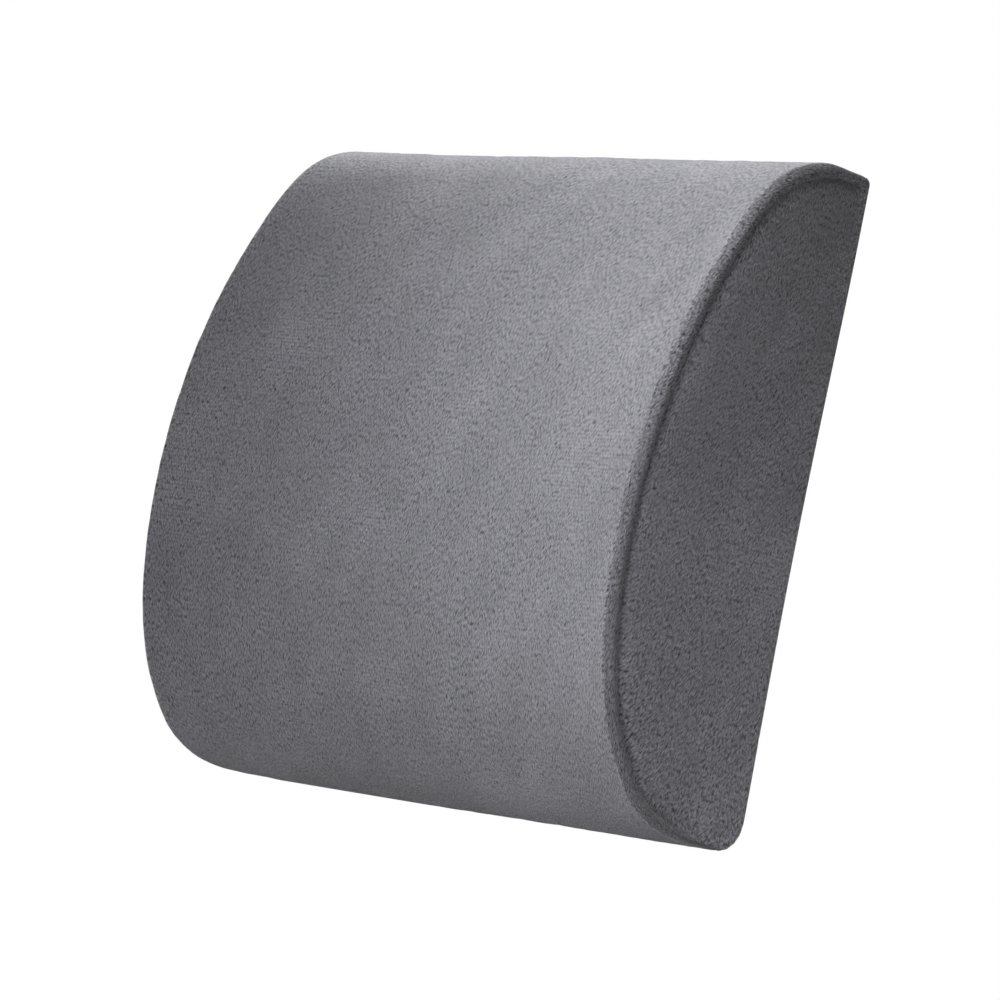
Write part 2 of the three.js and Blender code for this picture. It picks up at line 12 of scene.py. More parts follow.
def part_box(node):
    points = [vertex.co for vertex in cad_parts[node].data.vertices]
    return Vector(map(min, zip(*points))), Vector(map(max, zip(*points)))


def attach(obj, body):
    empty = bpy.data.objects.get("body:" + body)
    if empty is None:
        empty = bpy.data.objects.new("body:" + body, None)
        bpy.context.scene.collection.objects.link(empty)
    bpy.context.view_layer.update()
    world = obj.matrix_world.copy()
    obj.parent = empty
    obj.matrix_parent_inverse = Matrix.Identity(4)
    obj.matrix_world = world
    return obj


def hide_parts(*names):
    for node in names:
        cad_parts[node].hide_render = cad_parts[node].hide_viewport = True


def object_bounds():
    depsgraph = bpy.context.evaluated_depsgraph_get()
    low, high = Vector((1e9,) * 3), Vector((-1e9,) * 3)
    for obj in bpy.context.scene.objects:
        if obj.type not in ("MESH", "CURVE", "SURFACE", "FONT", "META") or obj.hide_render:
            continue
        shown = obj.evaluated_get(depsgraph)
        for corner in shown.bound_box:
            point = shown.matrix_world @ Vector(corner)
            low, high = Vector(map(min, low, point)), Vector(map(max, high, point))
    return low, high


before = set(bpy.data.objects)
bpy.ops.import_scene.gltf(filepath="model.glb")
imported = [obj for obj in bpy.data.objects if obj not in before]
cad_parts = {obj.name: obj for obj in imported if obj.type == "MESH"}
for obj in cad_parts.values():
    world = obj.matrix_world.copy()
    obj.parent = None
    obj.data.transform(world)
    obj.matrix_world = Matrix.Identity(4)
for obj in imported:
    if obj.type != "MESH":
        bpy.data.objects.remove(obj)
CAD_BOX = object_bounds()

MM = 0.001
rng = np.random.default_rng(11)

# ---- Sizes read from the frame ----

COVER_LOW, COVER_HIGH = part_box("front_panel")
WIDTH = COVER_HIGH.x - COVER_LOW.x
HEIGHT = COVER_HIGH.z - COVER_LOW.z
TAPE_LOW, TAPE_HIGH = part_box("zipper_tape_upper")
ZIP_Z = (TAPE_LOW.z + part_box("zipper_tape_lower")[1].z) / 2
ZIP_HALF_LENGTH = TAPE_HIGH.x
ZIP_HALF_OPENING = TAPE_HIGH.z - ZIP_Z
STRAP_LOW, STRAP_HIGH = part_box("strap_left")
STRAP_Z = (STRAP_LOW.z + STRAP_HIGH.z) / 2
STRAP_WIDTH = STRAP_HIGH.z - STRAP_LOW.z
FLOOR_Z = CAD_BOX[0][2]

# ---- Sizes of the cushion that the frame holds only as shape ----

DEPTH = 115 * MM
TOP_FLAT = 20 * MM
BOTTOM_FLAT = 32 * MM
CROWN_DROP = 0.182
SHOULDER = 0.03  # extra fullness where the crown meets the top and the underside
CROWN_DIP = 14 * MM
DIP_POWER = 3  # how much of the dip happens near the ends
END_HOLLOW = 2 * MM  # how far the end faces are drawn in at the back
HOLLOW_Z = -20 * MM
HOLLOW_HALF = 150 * MM
TOP_RADIUS = 4 * MM
BOTTOM_RADIUS = 16 * MM
LEAST_RADIUS = 0.6 * MM  # what a round shrinks to when an inset would use it up
EDGE_ALONG = 5 * MM  # round of the end edges along X
EDGE_ACROSS = 3.5 * MM  # the same round, in from the outline
LEAST_ALONG = 1.2 * MM
BACK_SHARE = 0.25  # how much of an end-edge inset the flat back gets
UPPER_BROAD = 0.5  # how much broader that round is on the upper front
SEAM_INSET = 6 * MM  # end seam, in from the outline
SEAM_TUCK = 1.5 * MM  # how far cloth is drawn in along a seam
FRONT_PULL = 1.6 * MM  # how far from a seam the front is drawn in
SIDE_TUCK = 2.3 * MM
SIDE_PULL = 4.5 * MM
SIDE_RELIEF = 0.6  # the end panels' pile is less brushed up than the front's
ALLOWANCE = 2.8 * MM  # cloth turned in behind the seam
TURNED_IN = np.array([ALLOWANCE, ALLOWANCE / 2])
TURNED_DOWN = np.array([0.9, 0.6]) * MM
TOP_SEAM = 0.55 * TOP_RADIUS * math.pi / 2  # round the top back corner, from the back
CLOTH = 1.9 * MM
THIN_CLOTH = 0.15  # share of that at an edge
LINER_INSET = 2.6 * MM
LINER_THICK = 0.8 * MM
FOAM_INSET = 3.8 * MM

STRAP_THICK = 1.4 * MM
STRAP_LOW_Y = 1.3 * MM
STRAP_HIGH_Y = 6.1 * MM
STRAP_START = 5.5 * MM  # in from the end face
PLUG_BAR_X = -22.4 * MM
SOCKET_BAR_X = 34 * MM
TAIL_END_X = -121 * MM
# Where the right strap's end lies down on itself, as (x, y) of its centre line.
FOLD = ((40 * MM, STRAP_HIGH_Y), (50 * MM, 3.0 * MM), (74 * MM, 3.0 * MM))


# ---- Mesh helpers ----

def make_object(name, vertices, faces, **maps):
    """A smooth mesh object. Each map holds one (u, v) pair or one number for each vertex."""
    mesh = bpy.data.meshes.new(name)
    mesh.from_pydata(np.asarray(vertices).reshape(-1, 3).tolist(), [], faces)
    corner = np.zeros(len(mesh.loops), np.int32)
    mesh.loops.foreach_get("vertex_index", corner)
    for key, values in maps.items():
        values = np.asarray(values, np.float32).reshape(len(mesh.vertices), -1)
        if values.shape[1] == 2:
            mesh.uv_layers.new(name=key).data.foreach_set("uv", values[corner].ravel())
        else:
            mesh.attributes.new(key, "FLOAT", "POINT").data.foreach_set("value", values.ravel())
    mesh.polygons.foreach_set("use_smooth", [True] * len(mesh.polygons))
    mesh.update()
    obj = bpy.data.objects.new(name, mesh)
    bpy.context.scene.collection.objects.link(obj)
    return obj


def grid_faces(index, flip=False):
    """Quads between neighbours of a 2-D array of vertex numbers."""
    quads = np.stack([index[:-1, :-1], index[:-1, 1:], index[1:, 1:], index[1:, :-1]], -1)
    quads = quads.reshape(-1, 4)
    return (quads[:, ::-1] if flip else quads).tolist()


def tube_faces(rings, sides, start=0):
    """Quads of a tube of rings, with an n-sided face on each end."""
    index = start + np.arange(rings * sides).reshape(rings, sides)
    faces = grid_faces(np.concatenate([index, index[:, :1]], 1))
    return faces + [index[0].tolist(), index[-1, ::-1].tolist()]


def grid_normals(points, outward):
    """Unit normals of a (rows, cols, 3) grid on its outward side, and whether that is the back
    of the faces that grid_faces makes."""
    normal = np.cross(np.gradient(points, axis=1), np.gradient(points, axis=0))
    normal /= np.linalg.norm(normal, axis=2, keepdims=True) + 1e-15
    flip = (normal * outward).sum() > 0
    return (normal if flip else -normal), flip


def border(index):
    """The numbers round the edge of a 2-D array, in order."""
    return np.concatenate([index[0, :], index[1:, -1], index[-1, -2::-1], index[-2:0:-1, 0]])


def sheet(name, points, outward, thickness, ends=1, **maps):
    """A closed sheet: a fine outer layer, a coarser inner one, and a rim that joins them. The
    inner layer keeps all of the last few columns at each end."""
    rows, cols = points.shape[:2]
    normals, flip = grid_normals(points, outward)
    inner = points - normals * np.broadcast_to(thickness, (rows, cols))[..., None]
    row_pick = np.unique(np.append(np.arange(0, rows, 4), rows - 1))
    inside = np.arange(ends, cols - ends, 4)
    col_pick = np.concatenate([np.arange(ends), inside, np.arange(cols - ends, cols)])
    pick = np.ix_(row_pick, col_pick)
    outer_index = np.arange(rows * cols).reshape(rows, cols)
    inner_index = rows * cols + np.arange(len(row_pick) * len(col_pick)).reshape(len(row_pick), -1)
    row_of = np.searchsorted(row_pick, np.arange(rows), side="right") - 1
    col_of = np.searchsorted(col_pick, np.arange(cols), side="right") - 1
    partner = inner_index[np.ix_(row_of, col_of)]
    faces = grid_faces(outer_index, flip) + grid_faces(inner_index, not flip)
    rim, mate = border(outer_index).tolist(), border(partner).tolist()
    for i, a in enumerate(rim):
        b, far, near = rim[i - 1], mate[i], mate[i - 1]
        face = [b, a, near] if far == near else [b, a, far, near]
        faces.append(face if flip else face[::-1])
    vertices = np.concatenate([points.reshape(-1, 3), inner[pick].reshape(-1, 3)])
    both = {}
    for key, grid in maps.items():
        size = grid.size // (rows * cols)
        both[key] = np.concatenate([grid.reshape(-1, size), grid[pick].reshape(-1, size)])
    return make_object(name, vertices, faces, **both)


def joined(name, *objects):
    """One object out of several."""
    work = bmesh.new()
    for obj in objects:
        work.from_mesh(obj.data)
        bpy.data.objects.remove(obj)
    mesh = bpy.data.meshes.new(name)
    work.to_mesh(mesh)
    work.free()
    obj = bpy.data.objects.new(name, mesh)
    bpy.context.scene.collection.objects.link(obj)
    return obj


def soft_noise(shape, spacing, sizes):
    """Even random relief on a grid, about 1 high: sizes are the feature sizes down and across."""
    white = np.fft.rfft2(rng.standard_normal(shape))
    down = np.fft.fftfreq(shape[0], spacing)[:, None]
    across = np.fft.rfftfreq(shape[1], spacing)[None, :]
    blur = np.exp(-((down * sizes[0] * math.pi) ** 2 + (across * sizes[1] * math.pi) ** 2) / 2)
    relief = np.fft.irfft2(white * blur, s=shape)
    return relief / relief.std()


def tree_of(points):
    tree = KDTree(len(points))
    for i, point in enumerate(points):
        tree.insert(point, i)
    tree.balance()
    return tree


def mesh_values(mesh, what, field):
    data = getattr(mesh, what)
    values = np.zeros(len(data) * 3)
    data.foreach_get(field, values)
    return values.reshape(-1, 3)


# ---- Shape of the cushion ----

CORNER_POINTS = 13
STRAIGHT_POINTS = 20
FRONT_POINTS = 401
ROUND_POINTS = 25
BACK_POINTS = 301
EDGE_COLUMNS = 8
FRONT_START = CORNER_POINTS + STRAIGHT_POINTS - 2
FRONT_END = FRONT_START + FRONT_POINTS - 1
ROUND_START = FRONT_END + STRAIGHT_POINTS - 1
BACK_START = ROUND_START + ROUND_POINTS - 1
BACK_END = BACK_START + BACK_POINTS - 1


def arc(y, z, radius, start, end, count):
    angle = np.linspace(start, end, count)
    return np.stack([y + radius * np.cos(angle), z + radius * np.sin(angle)], 1)


def even_section(inset):
    """The outline in (y, z), moved in by inset, as a loop from the top back edge over the front
    and back up the flat back. Point number i is the same place at every inset."""
    half = HEIGHT / 2 - inset
    crown = DEPTH - inset
    top = max(TOP_RADIUS - inset, LEAST_RADIUS)
    bottom = max(BOTTOM_RADIUS - inset, LEAST_RADIUS)
    angle = np.linspace(0, math.pi, FRONT_POINTS)
    flat = np.where(angle < math.pi / 2, TOP_FLAT, BOTTOM_FLAT)
    sine = np.sin(angle)
    shoulder = np.where(abs(np.cos(angle)) > math.sqrt(0.5), np.sin(4 * angle) ** 2, 0)
    y = -(flat + (crown - flat) * (sine + SHOULDER * shoulder))
    z = half * (np.cos(angle) - CROWN_DROP * sine**2)
    corner = arc(-inset - top, half - top, top, 0, math.pi / 2, CORNER_POINTS)
    return np.concatenate([
        corner,
        np.linspace((-inset - top, half), (-TOP_FLAT, half), STRAIGHT_POINTS)[1:],
        np.stack([y, z], 1)[1:],
        np.linspace((-BOTTOM_FLAT, -half), (-inset - bottom, -half), STRAIGHT_POINTS)[1:],
        arc(-inset - bottom, -half + bottom, bottom, -math.pi / 2, 0, ROUND_POINTS)[1:],
        np.linspace((-inset, -half + bottom), (-inset, half - top), BACK_POINTS)[1:],
        corner[1:],
    ])


def edge_share():
    """How much of an end-edge inset each point of the outline gets: the round is broadest on
    the upper front."""
    index = np.arange(BACK_END + CORNER_POINTS)
    knots = [0, CORNER_POINTS, FRONT_END - 25, FRONT_END, ROUND_START, BACK_END, BACK_END + CORNER_POINTS]
    shares = [BACK_SHARE, 1, 1, 0.5, BACK_SHARE, BACK_SHARE, 1]
    along = np.clip((index - FRONT_START) / FRONT_POINTS, 0, 1)
    return np.interp(index, knots, shares) * (1 + UPPER_BROAD * np.sin(math.pi * along**0.6))


SHARE = edge_share()[:, None]


def section(inset, edge):
    """The outline moved in by inset all round, and by a further edge in shares. Nothing stands
    above the line of the top."""
    rim = even_section(inset)
    result = rim + (even_section(inset + edge) - rim) * SHARE
    result[:, 1] = np.minimum(result[:, 1], HEIGHT / 2 - inset - edge)
    return result


def sink(points):
    """Sinks the crown half-way between the ends, and draws in the back of the end faces."""
    across = 2 * points[..., 0] / WIDTH
    middle = np.clip(1 - ((points[..., 2] - HOLLOW_Z) / HOLLOW_HALF) ** 2, 0, 1) ** 2
    hollow = END_HOLLOW * middle * np.clip(1 + points[..., 1] / DEPTH, 0, 1)
    points[..., 1] *= 1 - CROWN_DIP / DEPTH * (1 - abs(across) ** DIP_POWER)
    points[..., 0] -= hollow * np.sign(across) * abs(across) ** 9
    return points


class Wrap:
    """The surface at one inset, addressed by distance round the outline and by column."""

    def __init__(self, inset, step, seam=0.0):
        """seam is the inset of the end seam; 0 leaves the end edges plainly rounded."""
        self.inset = inset
        outline = even_section(inset)
        steps = np.linalg.norm(np.diff(outline, axis=0), axis=1)
        self.along = np.concatenate([[0], np.cumsum(steps)])
        self.top = max(TOP_RADIUS - inset, LEAST_RADIUS)
        self.lap = self.along[BACK_END]
        self.half = HEIGHT / 2 - inset
        across = seam or max(EDGE_ACROSS - inset, LEAST_RADIUS)
        along = max(EDGE_ALONG - inset, LEAST_ALONG)
        end = WIDTH / 2 - inset
        angle = np.radians(np.linspace(90, 0, EDGE_COLUMNS + 1)[:-1])
        x = end - along + along * np.sin(angle)
        edge = across * (1 - np.cos(angle))
        run = np.concatenate([[0], np.cumsum(np.hypot(np.diff(x), np.diff(edge)))])
        if seam:
            x = np.concatenate([end - TURNED_IN, x])
            edge = np.concatenate([across + TURNED_DOWN, edge])
            run = np.concatenate([-TURNED_IN, run])
        flat = end - along
        middle = np.linspace(-flat, flat, int(2 * flat / step) + 1)
        self.x = np.concatenate([-x, middle, x[::-1]])
        self.edge = np.concatenate([edge, 0 * middle, edge[::-1]])
        self.run = np.concatenate([run, run[-1] + flat - abs(middle), run[::-1]])
        self.across = np.sign(self.x) * (run[-1] + flat - self.run)
        pull = np.exp(-((np.maximum(self.run, 0) / FRONT_PULL) ** 2))
        self.tuck = np.sign(self.x) * (SEAM_TUCK * pull if seam else 0 * pull)

    def back(self, z):
        """Distance round the outline at which the flat back passes height z."""
        return self.lap - (self.half - self.top - z)

    def points(self, distance):
        """The surface at (rows, cols) distances round the outline."""
        result = np.zeros((*distance.shape, 3))
        index = np.arange(len(self.along))
        for c, (x, edge) in enumerate(zip(self.x, self.edge)):
            outline = section(self.inset, edge)
            place = np.interp(distance[:, c], self.along, index)
            result[:, c, 0] = x - self.tuck[c] * np.minimum(np.interp(place, index, SHARE[:, 0]), 1)
            result[:, c, 1] = np.interp(place, index, outline[:, 0])
            result[:, c, 2] = np.interp(place, index, outline[:, 1])
        return sink(result)


def end_grid(inset, edge, step, side):
    """A D-shaped grid in the plane of an end face: rows run from the front to the back."""
    outline = section(inset, edge)
    front = outline[FRONT_START : ROUND_START + 1]
    run = np.concatenate([[0], np.cumsum(np.linalg.norm(np.diff(front, axis=0), axis=1))])
    place = np.linspace(0, run[-1], int(run[-1] / step))
    front_y, z = np.interp(place, run, front[:, 0]), np.interp(place, run, front[:, 1])
    rear = outline[ROUND_START : BACK_END + 1]
    back_y = np.interp(z, rear[:, 1], rear[:, 0])
    share = np.linspace(0, 1, int(DEPTH / step))[None, :]
    y = front_y[:, None] * (1 - share) + back_y[:, None] * share
    x = np.full(y.shape, side * (WIDTH / 2 - inset))
    return sink(np.stack([x, y, np.broadcast_to(z[:, None], y.shape)], -1)), outline


def from_axis(points):
    """Rough outward direction, away from the line along the cushion's middle."""
    away = points - np.array([0, -DEPTH / 2, 0])
    away[..., 0] = 0
    return away


# ---- Cloth simulation: how the cover swells between its seams ----

SIM_STEP = 6 * MM
SIM_FRAMES = 20
QUICK_REACH = 16 * MM  # from a seam to full swell, where the simulation is left out
SWELL_CAP = 2.5 * MM  # the foam fills the cover, so cloth swells only this far
FRONT_SWELL = 1.5 * MM
BACK_SWELL = 0.5 * MM
SIDE_SWELL = 1.8 * MM
FRONT_REST = 0.3  # the part of the swell that only brings a panel out to its outline
SIDE_REST = 0.35


def seam_points():
    """Points along the seams, where the cover is held."""
    outline = section(0, SEAM_INSET)[::4]
    sides = [np.column_stack([np.full(len(outline), s * WIDTH / 2), outline]) for s in (-1, 1)]
    x = np.arange(-WIDTH / 2, WIDTH / 2, 4 * MM)
    rows = [(-1 * MM, HEIGHT / 2 - 1 * MM), (0, ZIP_Z + ZIP_HALF_OPENING), (0, ZIP_Z - ZIP_HALF_OPENING)]
    lines = [np.column_stack([x, np.full(len(x), y), np.full(len(x), z)]) for y, z in rows]
    return np.concatenate(sides + lines)


def simulate_cover(seams):
    """Inflates the closed cover with its seams held. Returns places and how far each swelled."""
    wrap = Wrap(0, SIM_STEP)
    rows = int(wrap.lap / SIM_STEP)
    distance = np.linspace(0, wrap.lap, rows, endpoint=False)
    loops = wrap.points(np.repeat(distance[:, None], len(wrap.x), 1)).transpose(1, 0, 2)
    obj = make_object("cover_sim", loops, tube_faces(len(wrap.x), rows))
    bpy.context.view_layer.objects.active = obj
    obj.select_set(True)
    obj.data.remesh_voxel_size = SIM_STEP
    bpy.ops.object.voxel_remesh()
    rest = mesh_values(obj.data, "vertices", "co")
    normals = mesh_values(obj.data, "vertex_normals", "vector")
    held = obj.vertex_groups.new(name="seams")
    for i, place in enumerate(rest):
        if seams.find(place)[2] < SIM_STEP:
            held.add([i], 1.0, "REPLACE")
    cloth = obj.modifiers.new("cloth", "CLOTH")
    settings = cloth.settings
    settings.quality = 6
    settings.mass = 0.3
    settings.tension_stiffness = 20
    settings.compression_stiffness = 20
    settings.bending_stiffness = 2
    settings.vertex_group_mass = held.name
    settings.use_pressure = True
    settings.uniform_pressure_force = 4
    settings.effector_weights.gravity = 0
    cloth.point_cache.frame_end = SIM_FRAMES
    for step in range(1, SIM_FRAMES + 1):
        bpy.context.scene.frame_set(step)
    swelled = obj.evaluated_get(bpy.context.evaluated_depsgraph_get())
    moved = mesh_values(swelled.data, "vertices", "co") - rest
    bpy.context.scene.frame_set(1)
    bpy.data.objects.remove(obj)
    return rest, (moved * normals).sum(1)


class Swell:
    """How far the cover swells at each place: 0 at a seam, about 1 away from it."""

    def __init__(self):
        self.seams = tree_of(seam_points())
        self.rest = None
        rest, swelled = simulate_cover(self.seams)
        self.rest = tree_of(rest)
        self.swelled = np.tanh(np.maximum(swelled, 0) / SWELL_CAP)

    def at(self, place):
        if self.rest is None:
            return 1 - math.exp(-self.seams.find(place)[2] / QUICK_REACH)
        near = self.rest.find_n(place, 8)
        weight = np.array([math.exp(-((n[2] / SIM_STEP) ** 2)) + 1e-9 for n in near])
        return (weight * self.swelled[[n[1] for n in near]]).sum() / weight.sum()

    def over(self, points, stride=4):
        """Values on a grid, worked out on every stride-th point and spread between them."""
        rows, cols = points.shape[:2]
        r = np.unique(np.append(np.arange(0, rows, stride), rows - 1))
        c = np.unique(np.append(np.arange(0, cols, stride), cols - 1))
        values = np.array([[self.at(points[i, j]) for j in c] for i in r])
        values = np.stack([np.interp(np.arange(cols), c, row) for row in values])
        return np.stack([np.interp(np.arange(rows), r, column) for column in values.T], 1)


# ---- Plush cover ----

FINE = 1.4 * MM
LEAN = 10.5  # of the pile half-way along, in degrees
LEAN_SPREAD = 29  # how much more it leans at one end than at the other
PILE_WANDER = 1.5 * MM
SEAM_SHADE_REACH = 2.6 * MM  # how far from an end seam the painted shade of the seam's crease reaches
FOLD_EDGE = 1.6 * MM  # round of the cloth's folded edges beside the zip
FOLD_DROP = 0.7 * MM
ZIP_PULL = 30 * MM  # how far from the zip the cloth is drawn over to its line, past its ends
RELIEF_FADE = 6 * MM  # the pile rises to its full height over this distance from a seam
SWELL_FADE = 5 * MM
CORNER_FADE = 20 * MM
UNDERSIDE_LIMITS = (2 * MM, -0.1 * MM)  # highest relief 40 mm before the underside, and on it
swell = Swell()


def pile_relief(shape):
    """Height of the pile's tufts and of the slack under them."""
    slack = soft_noise(shape, FINE, (80 * MM, 80 * MM))
    clumps = soft_noise(shape, FINE, (16 * MM, 10 * MM))
    tufts = soft_noise(shape, FINE, (4.2 * MM, 3.0 * MM))
    return slack * 0.28 * MM + clumps * 0.07 * MM + tufts * 0.055 * MM


def pile_lay(u, v):
    """Coordinates across and along the pile, which leans over towards the left and wanders."""
    lean = np.radians(LEAN + LEAN_SPREAD * u / WIDTH)
    wander = soft_noise(u.shape, FINE, (60 * MM, 40 * MM)) * PILE_WANDER
    return np.stack([u + v * np.tan(lean) + wander, v], -1)


def wrap_panel(name, node, start, end, zip_edge, swelling, limit):
    """A cloth panel wrapped along X. start and end are distances round the outline; one of them
    is the folded edge beside the zip, and past the zip's ends the cloth runs on to its middle."""
    wrap = Wrap(0, FINE, SEAM_INSET)
    rows = np.linspace(start, end, int((end - start) / FINE))
    to_zip = abs(rows - zip_edge)
    to_seam = abs(rows - (start + end - zip_edge))
    middle = wrap.back(ZIP_Z) + math.copysign(0.05 * MM, (start + end) / 2 - wrap.back(ZIP_Z))
    past_zip = (abs(wrap.x) > ZIP_HALF_LENGTH).astype(float)
    reach = np.clip(1 - to_zip / ZIP_PULL, 0, 1) ** 2
    distance = rows[:, None] + np.outer(reach, past_zip) * (middle - zip_edge)
    points = wrap.points(distance)
    shape = points.shape[:2]
    normals, _ = grid_normals(points, from_axis(points))
    off_edge = np.clip(np.minimum(to_zip, to_seam) / SWELL_FADE, 0, 1)
    fade = np.clip(wrap.run / RELIEF_FADE, 0, 1) * off_edge[:, None]
    on_end = np.clip(wrap.run / SWELL_FADE, 0, 1)
    height = (swell.over(points) - FRONT_REST) * swelling * on_end + pile_relief(shape) * fade
    height = np.minimum(height, limit(rows)[:, None])
    off_corner = np.clip((wrap.run - SWELL_FADE) / CORNER_FADE, 0, 1)
    height = height - SEAM_TUCK * np.exp(-((to_seam / FRONT_PULL) ** 2))[:, None] * off_corner
    fold = np.clip(1 - to_zip / FOLD_EDGE, 0, 1)
    height = height - np.outer(1 - np.sqrt(1 - fold**2), 1 - 0.8 * past_zip) * FOLD_DROP * on_end
    points = points + normals * height[..., None]
    thin_rows = np.clip(to_zip / FOLD_EDGE, THIN_CLOTH, 1)
    thickness = np.outer(thin_rows, np.clip(wrap.run / RELIEF_FADE, 0.25, 1)) * CLOTH
    across = np.broadcast_to(wrap.across, shape)
    obj = sheet(
        name,
        points,
        from_axis(points),
        thickness,
        ends=11,
        cloth=np.stack([across, distance], -1),
        lay=pile_lay(across, distance),
        # painted shade: the colour darkens towards each end seam, standing in for the shade in the seam's
        # crease
        matted=np.broadcast_to(np.exp(-((np.maximum(wrap.run, 0) / SEAM_SHADE_REACH) ** 2)), shape),
    )
    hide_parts(node)
    return obj


def front_panel():
    """From the top back seam over the crown, round the bottom, and up the back to the zip.
    It flattens towards the underside, which stands on the floor."""
    wrap = Wrap(0, FINE)
    edge = wrap.back(ZIP_Z - ZIP_HALF_OPENING)
    underside = wrap.along[FRONT_END]
    limit = lambda rows: np.interp(rows, [underside - 40 * MM, underside], UNDERSIDE_LIMITS)
    return wrap_panel("front_panel_plush", "front_panel", TOP_SEAM, edge, edge, FRONT_SWELL, limit)


def back_panel():
    """From the zip up the flat back to the top back seam. It stays clear of the strap."""
    wrap = Wrap(0, FINE)
    seam = wrap.lap + TOP_SEAM
    edge = wrap.back(ZIP_Z + ZIP_HALF_OPENING)
    limit = lambda rows: np.full(len(rows), UNDERSIDE_LIMITS[1])
    return wrap_panel("back_panel_plush", "back_panel", edge, seam, edge, BACK_SWELL, limit)


def side_panel(side, name, node):
    """A D-shaped end panel, its edges turned in behind the seam."""
    points, outline = end_grid(0, SEAM_INSET, FINE, side)
    tree = tree_of(np.column_stack([outline, 0 * outline[:, 0]]))
    found = [[tree.find((p[1], p[2], 0)) for p in row] for row in points]
    seam = np.array([[near[2] for near in row] for row in found])
    share = np.minimum([[SHARE[near[1], 0] for near in row] for row in found], 1)
    fade = np.clip(seam / RELIEF_FADE, 0, 1)
    height = (swell.over(points) - SIDE_REST) * SIDE_SWELL * np.clip(seam / (4 * MM), 0, 1)
    height = height + SIDE_RELIEF * pile_relief(seam.shape) * fade
    height = height - (share * 1.2 - 0.2) * SIDE_TUCK * np.exp(-((seam / SIDE_PULL) ** 2))
    points[..., 0] += side * height
    points = np.pad(points, ((2, 2), (2, 2), (0, 0)), mode="edge")
    ring = np.pad(np.zeros(seam.shape), 1, constant_values=0.5)
    ring = np.pad(ring, 1, constant_values=1)
    points[..., 0] -= side * ALLOWANCE * ring
    full = np.pad(np.clip(seam / (3 * MM), 0, 1), 2, mode="edge")
    outward = np.broadcast_to(np.array([side, 0, 0]), points.shape)
    u, v = -side * points[..., 1], points[..., 2]
    # painted shade: the colour darkens towards the seam, standing in for the shade in the seam's crease
    matted = np.pad(share * np.exp(-((seam / SEAM_SHADE_REACH) ** 2)), 2, mode="edge")
    obj = sheet(
        name,
        points,
        outward,
        CLOTH * (THIN_CLOTH + (1 - THIN_CLOTH) * full),
        cloth=np.stack([u, v], -1),
        lay=pile_lay(u, v),
        matted=matted,
    )
    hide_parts(node)
    return obj


# ---- Liner and foam, inside the cover ----

INSIDE = 3 * MM


def liner_sock():
    """Knitted sock round the foam, open along a slit behind the zip."""
    wrap = Wrap(LINER_INSET, INSIDE)
    slit = 1.5 * MM
    start, end = wrap.back(ZIP_Z + slit) - wrap.lap, wrap.back(ZIP_Z - slit)
    rows = np.linspace(start, end, int((end - start) / INSIDE))
    rows = np.where(rows < 0, rows + wrap.lap, rows)
    points = wrap.points(np.repeat(rows[:, None], len(wrap.x), 1))
    shape = points.shape[:2]
    uv = np.stack([np.broadcast_to(wrap.x, shape), np.broadcast_to(rows[:, None], shape)], -1)
    parts = [sheet("liner", points, from_axis(points), LINER_THICK, cloth=uv)]
    for side in (-1, 1):
        grid, _ = end_grid(LINER_INSET, LEAST_RADIUS, INSIDE, side)
        outward = np.broadcast_to(np.array([side, 0, 0]), grid.shape)
        parts.append(sheet("end", grid, outward, LINER_THICK, cloth=grid[..., 1:]))
    obj = joined("liner_sock", *parts)
    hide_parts("inner_liner")
    return obj


def foam_block():
    """The memory-foam block: one closed skin with moulded end edges."""
    wrap = Wrap(FOAM_INSET, INSIDE)
    rows = int(wrap.lap / INSIDE)
    distance = np.linspace(0, wrap.lap, rows, endpoint=False)
    loops = wrap.points(np.repeat(distance[:, None], len(wrap.x), 1)).transpose(1, 0, 2)
    normals = loops - loops.mean(1, keepdims=True)
    normals /= np.linalg.norm(normals, axis=2, keepdims=True)
    uneven = soft_noise(loops.shape[:2], INSIDE, (30 * MM, 30 * MM)) * 0.08 * MM
    loops = loops - normals * (0.2 * MM + abs(uneven))[..., None]
    caps = []
    for loop in (loops[0], loops[-1]):
        caps.append([loop.mean(0) + (loop - loop.mean(0)) * t for t in (0.02, 0.25, 0.5, 0.75, 0.95)])
    loops = np.concatenate([caps[0], loops, caps[1][::-1]])
    obj = make_object("foam_block", loops, tube_faces(len(loops), rows))
    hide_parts("foam_core")
    return obj


# ---- Zip ----

FILAMENT = 0.32 * MM  # radius
COIL_PITCH = 1.4 * MM
TURN_POINTS = 12


def filament(name, path, radius, sides=5):
    """A round thread along a path of points."""
    along = np.gradient(path, axis=0)
    along /= np.linalg.norm(along, axis=1, keepdims=True)
    side = np.cross(along, np.array([0.31, 0.22, 0.93]))
    side /= np.linalg.norm(side, axis=1, keepdims=True)
    up = np.cross(along, side)
    angle = np.linspace(0, 2 * math.pi, sides, endpoint=False)
    ring = np.cos(angle)[None, :, None] * side[:, None] + np.sin(angle)[None, :, None] * up[:, None]
    return make_object(name, path[:, None] + ring * radius, tube_faces(len(path), sides))


def coil(side, name, node):
    """One nylon coil, its heads laced between those of the other."""
    low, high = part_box(node)
    turns = (high.x - low.x - 2 * FILAMENT) / COIL_PITCH
    t = np.linspace(0, turns, int(turns * TURN_POINTS))
    phase = 2 * math.pi * t + (math.pi if side > 0 else 0)
    reach = 0.35 * MM  # past the coil's own half
    inner = (low.z if side > 0 else high.z) - side * reach
    outer = high.z if side > 0 else low.z
    mid, half = (inner + outer) / 2, abs(outer - inner) / 2 - FILAMENT
    tall = (high.y - low.y) / 2
    y = (low.y + high.y) / 2 + (tall - FILAMENT) * np.sin(phase)
    path = np.stack([low.x + FILAMENT + t * COIL_PITCH, y, mid + half * np.cos(phase)], 1)
    obj = filament(name, path, FILAMENT)
    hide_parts(node)
    return obj


